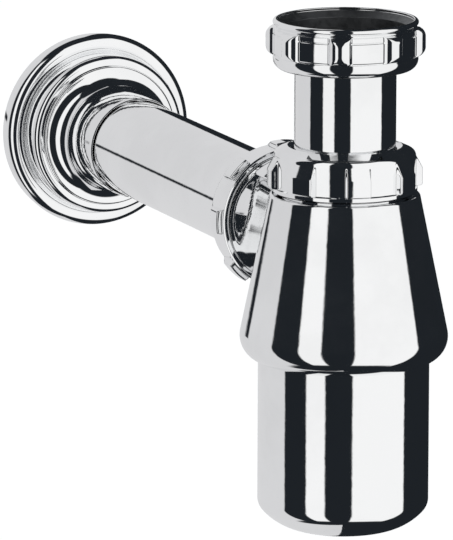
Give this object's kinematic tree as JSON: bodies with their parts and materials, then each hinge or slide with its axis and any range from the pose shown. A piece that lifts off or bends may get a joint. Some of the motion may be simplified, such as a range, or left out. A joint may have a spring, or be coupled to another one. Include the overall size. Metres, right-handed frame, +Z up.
{
  "type": "bottle trap",
  "caption": "Chrome bottle trap for a washbasin: lugged union nut, dip tube, conical bell with side outlet, screw-off cup, outlet pipe and deep wall rosette.",
  "frame": {"origin": "centre of the inlet washer's top face, inside the union nut, where the basin waste's tail seats", "axes": "+Z up along the dip tube's axis, out of the union nut's mouth; +Y along the outlet pipe, towards the wall"},
  "size_m": [0.0656, 0.2778, 0.1627],
  "materials": {
    "chrome": "polished",
    "rubber": "matte",
    "nylon": "satin"
  },
  "bodies": {
    "inlet_nut": {"inlet_union_nut": "chrome"},
    "dip_tube": {"dip_tube": "chrome", "inlet_washer": "rubber"},
    "body_seal": {"body_seal": "rubber"},
    "bell": {"bell_body": "chrome"},
    "body_slip_ring": {"body_slip_ring": "nylon"},
    "body_nut": {"body_nut": "chrome"},
    "cup_washer": {"cup_washer": "rubber"},
    "cup": {"cup": "chrome"},
    "outlet_slip_ring": {"outlet_slip_ring": "nylon"},
    "outlet_nut": {"outlet_nut": "chrome"},
    "outlet_seal": {"outlet_seal": "rubber"},
    "outlet_pipe": {"outlet_pipe": "chrome"},
    "wall_rosette": {"wall_rosette": "chrome"}
  },
  "joints": [
    {"name": "tube_swivel", "type": "hinge", "parent": "inlet_nut", "child": "dip_tube", "pos_m": [0, 0, 0], "axis": [0, 0, 1], "continuous": true},
    {"name": "height_slide", "type": "slide", "parent": "dip_tube", "child": "body_seal", "axis": [0, 0, 1], "range_m": [-0.025, 0.012]},
    {"name": "body_swivel", "type": "hinge", "parent": "body_seal", "child": "bell", "pos_m": [0, 0, -0.06235], "axis": [0, 0, 1], "continuous": true},
    {"name": "body_nut_lift", "type": "slide", "parent": "bell", "child": "body_slip_ring", "axis": [0, 0, 1], "range_m": [0, 0.0082]},
    {"name": "body_nut_turn", "type": "hinge", "parent": "body_slip_ring", "child": "body_nut", "pos_m": [0, 0, -0.046], "axis": [0, 0, 1], "range_deg": [0, 1260]},
    {"name": "cup_drop", "type": "slide", "parent": "bell", "child": "cup_washer", "axis": [0, 0, -1], "range_m": [0, 0.062]},
    {"name": "cup_turn", "type": "hinge", "parent": "cup_washer", "child": "cup", "pos_m": [0, 0, -0.12], "axis": [0, 0, -1], "range_deg": [0, 1440]},
    {"name": "outlet_nut_lift", "type": "slide", "parent": "bell", "child": "outlet_slip_ring", "axis": [0, 1, 0], "range_m": [0, 0.0082]},
    {"name": "outlet_nut_turn", "type": "hinge", "parent": "outlet_slip_ring", "child": "outlet_nut", "pos_m": [0, 0.052, -0.06235], "axis": [0, 1, 0], "range_deg": [0, 1260]},
    {"name": "pipe_turn", "type": "hinge", "parent": "bell", "child": "outlet_seal", "pos_m": [0, 0.052, -0.06235], "axis": [0, 1, 0], "continuous": true},
    {"name": "pipe_slide", "type": "slide", "parent": "outlet_seal", "child": "outlet_pipe", "axis": [0, 1, 0], "range_m": [-0.005, 0.012]},
    {"name": "rosette_slide", "type": "slide", "parent": "outlet_pipe", "child": "wall_rosette", "axis": [0, 1, 0], "range_m": [-0.1, 0.02]}
  ],
  "couplings": [
    {"joint": "body_nut_lift", "follows": "body_nut_turn", "m_per_rad": 0.00036749},
    {"joint": "outlet_nut_lift", "follows": "outlet_nut_turn", "m_per_rad": 0.00036749}
  ]
}
